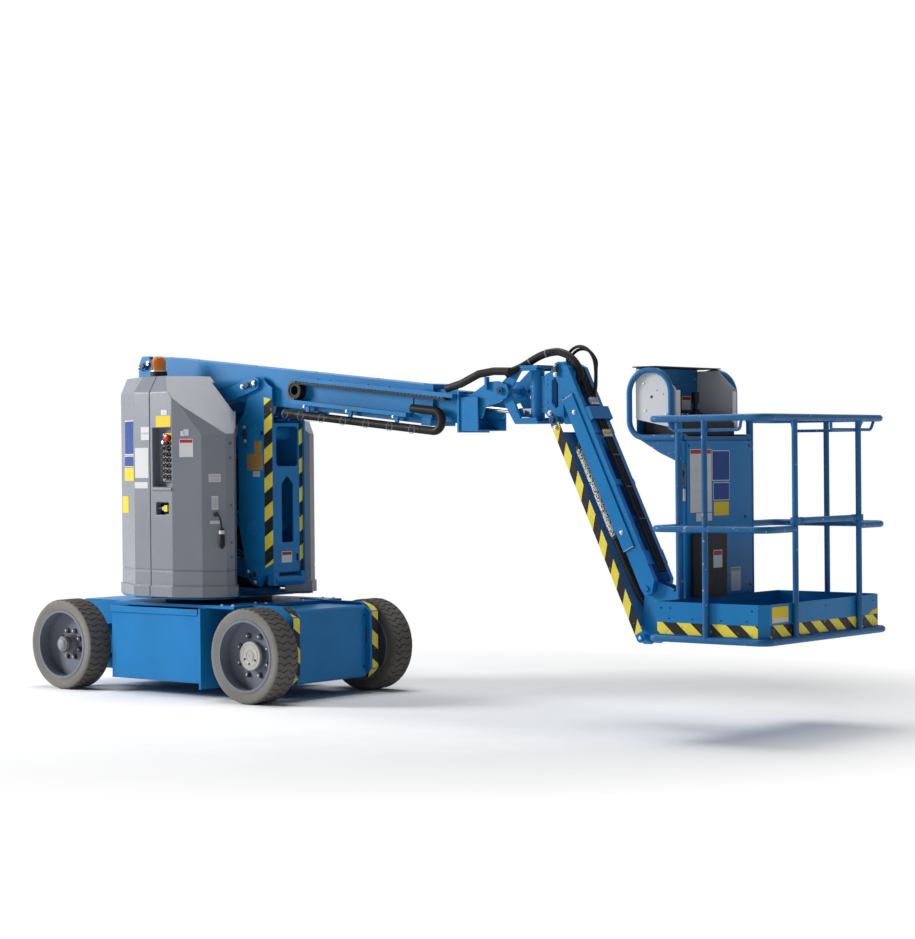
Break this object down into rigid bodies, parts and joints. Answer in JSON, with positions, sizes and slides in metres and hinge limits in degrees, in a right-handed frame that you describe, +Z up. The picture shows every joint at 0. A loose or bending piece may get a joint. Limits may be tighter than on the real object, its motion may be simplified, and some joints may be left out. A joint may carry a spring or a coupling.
{
  "type": "articulating boom lift",
  "caption": "Electric aerial work platform with a folding riser, telescopic boom, rotating jib and a rotating railed platform on a four-wheeled steered chassis.",
  "frame": {"origin": "on the floor under the turntable's slew axis, mid-way between the axles", "axes": "+X towards the platform in the stowed pose, +Y to the machine's left, +Z up"},
  "size_m": [5.4439, 1.204, 2.0774],
  "materials": {
    "blue_paint": "gloss",
    "grey_paint": "satin",
    "black_steel": "satin",
    "tyre_rubber": "matte",
    "grey_moulding": "satin",
    "black_plastic": "satin",
    "hose_rubber": "satin",
    "chromed_rod": "polished",
    "amber_lens": "gloss",
    "white_panel": "satin"
  },
  "bodies": {
    "chassis": {"chassis_frame": "blue_paint", "running_gear": "black_steel"},
    "knuckle_right": {"knuckle_right": "black_steel"},
    "knuckle_left": {"knuckle_left": "black_steel"},
    "wheel_front_right": {"rim_front_right": "grey_paint", "tyre_front_right": "tyre_rubber"},
    "wheel_front_left": {"rim_front_left": "grey_paint", "tyre_front_left": "tyre_rubber"},
    "wheel_rear_right": {"rim_rear_right": "grey_paint", "tyre_rear_right": "tyre_rubber"},
    "wheel_rear_left": {"rim_rear_left": "grey_paint", "tyre_rear_left": "tyre_rubber"},
    "tray_right": {"tray_right": "blue_paint", "batteries_right": "black_plastic"},
    "tray_left": {"tray_left": "blue_paint", "batteries_left": "black_plastic"},
    "turntable": {"turntable_frame": "blue_paint", "counterweight": "black_steel", "rear_covers": "grey_moulding", "beacon_base": "black_plastic", "beacon_lens": "amber_lens"},
    "door_right": {"cover_door_right": "grey_moulding", "ground_controls": "black_plastic"},
    "door_left": {"cover_door_left": "grey_moulding"},
    "lower_arm": {"lower_arm": "blue_paint"},
    "lower_link": {"lower_link": "blue_paint"},
    "mid_pivot": {"mid_pivot": "blue_paint"},
    "upper_arm": {"upper_arm": "blue_paint"},
    "upper_links": {"upper_links": "blue_paint"},
    "boom_pivot": {"boom_pivot": "blue_paint"},
    "riser_barrel": {"riser_barrel": "blue_paint"},
    "riser_rod": {"riser_rod": "chromed_rod"},
    "lift_barrel": {"lift_barrel": "blue_paint"},
    "lift_rod": {"lift_rod": "chromed_rod"},
    "boom_outer": {"boom_outer": "blue_paint", "cable_track": "blue_paint", "boom_hoses": "hose_rubber"},
    "boom_extension": {"boom_extension": "blue_paint", "nose_hoses": "hose_rubber", "level_barrels": "black_steel"},
    "level_rods": {"level_rods": "chromed_rod"},
    "nose_bracket": {"nose_bracket": "blue_paint"},
    "jib_yoke": {"jib_yoke": "blue_paint"},
    "jib_beams": {"jib_beams": "blue_paint", "jib_hoses": "hose_rubber", "jib_barrel": "blue_paint"},
    "jib_rod": {"jib_rod": "chromed_rod"},
    "jib_link": {"jib_link": "blue_paint"},
    "platform_mount": {"platform_mount": "blue_paint"},
    "platform": {"platform_floor": "blue_paint", "platform_rails": "blue_paint", "rear_panel": "blue_paint", "control_hood": "blue_paint", "hood_side_plates": "white_panel", "hood_lid": "black_plastic", "control_console": "black_plastic", "storage_box": "black_plastic"},
    "entry_bar": {"entry_bar": "blue_paint"}
  },
  "joints": [
    {"name": "steer_right", "type": "hinge", "parent": "chassis", "child": "knuckle_right", "pos_m": [-0.8, -0.385, 0.28], "axis": [0, 0, 1], "range_deg": [-35, 35]},
    {"name": "steer_left", "type": "hinge", "parent": "chassis", "child": "knuckle_left", "pos_m": [-0.8, 0.385, 0.28], "axis": [0, 0, 1], "range_deg": [-35, 35]},
    {"name": "wheel_spin_front_right", "type": "hinge", "parent": "chassis", "child": "wheel_front_right", "pos_m": [0.8, -0.506, 0.28], "axis": [0, 1, 0], "continuous": true},
    {"name": "wheel_spin_front_left", "type": "hinge", "parent": "chassis", "child": "wheel_front_left", "pos_m": [0.8, 0.506, 0.28], "axis": [0, 1, 0], "continuous": true},
    {"name": "wheel_spin_rear_right", "type": "hinge", "parent": "knuckle_right", "child": "wheel_rear_right", "pos_m": [-0.8, -0.506, 0.28], "axis": [0, 1, 0], "continuous": true},
    {"name": "wheel_spin_rear_left", "type": "hinge", "parent": "knuckle_left", "child": "wheel_rear_left", "pos_m": [-0.8, 0.506, 0.28], "axis": [0, 1, 0], "continuous": true},
    {"name": "tray_swing_right", "type": "hinge", "parent": "chassis", "child": "tray_right", "pos_m": [0.356, -0.512, 0.3], "axis": [0, 0, 1], "range_deg": [0, 95]},
    {"name": "tray_swing_left", "type": "hinge", "parent": "chassis", "child": "tray_left", "pos_m": [0.356, 0.512, 0.3], "axis": [0, 0, -1], "range_deg": [0, 95]},
    {"name": "slew", "type": "hinge", "parent": "chassis", "child": "turntable", "pos_m": [0, 0, 0.59], "axis": [0, 0, 1], "range_deg": [-179.5, 179.5]},
    {"name": "door_swing_right", "type": "hinge", "parent": "turntable", "child": "door_right", "pos_m": [0.436, -0.32, 1.2], "axis": [0, 0, 1], "range_deg": [0, 80]},
    {"name": "door_swing_left", "type": "hinge", "parent": "turntable", "child": "door_left", "pos_m": [0.436, 0.32, 1.2], "axis": [0, 0, -1], "range_deg": [0, 80]},
    {"name": "riser_lift", "type": "hinge", "parent": "turntable", "child": "lower_arm", "pos_m": [-0.45273, 0, 0.90936], "axis": [0, -1, 0], "range_deg": [0, 67]},
    {"name": "riser_lower_link", "type": "hinge", "parent": "turntable", "child": "lower_link", "pos_m": [-0.48273, 0, 1.18936], "axis": [0, -1, 0], "range_deg": [0, 67]},
    {"name": "riser_mid", "type": "hinge", "parent": "lower_arm", "child": "mid_pivot", "pos_m": [0.47, 0, 0.73], "axis": [0, -1, 0], "range_deg": [-67, 0]},
    {"name": "riser_upper_arm", "type": "hinge", "parent": "mid_pivot", "child": "upper_arm", "pos_m": [0.46, 0, 1.585], "axis": [0, -1, 0], "range_deg": [-67, 0]},
    {"name": "riser_upper_links", "type": "hinge", "parent": "mid_pivot", "child": "upper_links", "pos_m": [0.48, 0, 1.88], "axis": [0, -1, 0], "range_deg": [-67, 0]},
    {"name": "riser_top", "type": "hinge", "parent": "upper_arm", "child": "boom_pivot", "pos_m": [-0.43893, 0, 1.31017], "axis": [0, -1, 0], "range_deg": [0, 67]},
    {"name": "riser_cylinder_tilt", "type": "hinge", "parent": "turntable", "child": "riser_barrel", "pos_m": [-0.3, 0, 0.665], "axis": [0, -1, 0], "range_deg": [0, 62.19]},
    {"name": "riser_cylinder_stroke", "type": "slide", "parent": "riser_barrel", "child": "riser_rod", "axis": [0.9638, 0, 0.2665], "range_m": [0, 0.317]},
    {"name": "boom_lift", "type": "hinge", "parent": "boom_pivot", "child": "boom_outer", "pos_m": [-0.51, 0, 2.016], "axis": [0, -1, 0], "range_deg": [0, 81]},
    {"name": "lift_cylinder_tilt", "type": "hinge", "parent": "boom_pivot", "child": "lift_barrel", "pos_m": [-0.35, 0, 1.668], "axis": [0, -1, 0], "range_deg": [0, 76.31]},
    {"name": "lift_cylinder_stroke", "type": "slide", "parent": "lift_barrel", "child": "lift_rod", "axis": [1, 0, 0.007], "range_m": [0, 0.526]},
    {"name": "telescope", "type": "slide", "parent": "boom_outer", "child": "boom_extension", "axis": [0.9944, 0, -0.1054], "range_m": [0, 1.15]},
    {"name": "nose_level", "type": "hinge", "parent": "boom_extension", "child": "nose_bracket", "pos_m": [2.33, 0, 1.791], "axis": [0, -1, 0], "range_deg": [-81, 0]},
    {"name": "level_cylinder_stroke", "type": "slide", "parent": "boom_extension", "child": "level_rods", "axis": [0.9944, 0, -0.1054], "range_m": [-0.20679, 0]},
    {"name": "jib_rotate", "type": "hinge", "parent": "nose_bracket", "child": "jib_yoke", "pos_m": [2.51, 0, 1.78], "axis": [0, 0, 1], "range_deg": [-90, 90]},
    {"name": "jib_lift", "type": "hinge", "parent": "jib_yoke", "child": "jib_beams", "pos_m": [2.72, 0, 1.89], "axis": [0, -1, 0], "range_deg": [0, 130]},
    {"name": "jib_link_turn", "type": "hinge", "parent": "jib_yoke", "child": "jib_link", "pos_m": [2.69, 0, 1.63], "axis": [0, -1, 0], "range_deg": [0, 130]},
    {"name": "jib_cylinder_stroke", "type": "slide", "parent": "jib_beams", "child": "jib_rod", "axis": [-0.4802, 0, 0.8772], "range_m": [0, 0.1317]},
    {"name": "platform_level", "type": "hinge", "parent": "jib_beams", "child": "platform_mount", "pos_m": [3.28988, 0, 0.72157], "axis": [0, -1, 0], "range_deg": [-130, 0]},
    {"name": "platform_rotate", "type": "hinge", "parent": "platform_mount", "child": "platform", "pos_m": [3.49, 0, 0.6], "axis": [0, 0, -1], "range_deg": [-90, 90]},
    {"name": "entry_bar_lift", "type": "slide", "parent": "platform", "child": "entry_bar", "axis": [0, 0, 1], "range_m": [0, 0.42]}
  ],
  "couplings": [
    {"joint": "steer_left", "follows": "steer_right", "ratio": 1},
    {"joint": "riser_lower_link", "follows": "riser_lift", "ratio": 1},
    {"joint": "riser_mid", "follows": "riser_lift", "ratio": -1},
    {"joint": "riser_upper_arm", "follows": "riser_lift", "ratio": -1},
    {"joint": "riser_upper_links", "follows": "riser_lift", "ratio": -1},
    {"joint": "riser_top", "follows": "riser_lift", "ratio": 1},
    {"joint": "riser_cylinder_tilt", "follows": "riser_lift", "ratio": 0.928},
    {"joint": "riser_cylinder_stroke", "follows": "riser_lift", "m_per_rad": 0.271},
    {"joint": "lift_cylinder_tilt", "follows": "boom_lift", "ratio": 0.942},
    {"joint": "lift_cylinder_stroke", "follows": "boom_lift", "m_per_rad": 0.372},
    {"joint": "nose_level", "follows": "boom_lift", "ratio": -1},
    {"joint": "level_cylinder_stroke", "follows": "boom_lift", "m_per_rad": -0.1462},
    {"joint": "jib_link_turn", "follows": "jib_lift", "ratio": 1},
    {"joint": "jib_cylinder_stroke", "follows": "jib_lift", "m_per_rad": 0.058},
    {"joint": "platform_level", "follows": "jib_lift", "ratio": -1}
  ]
}
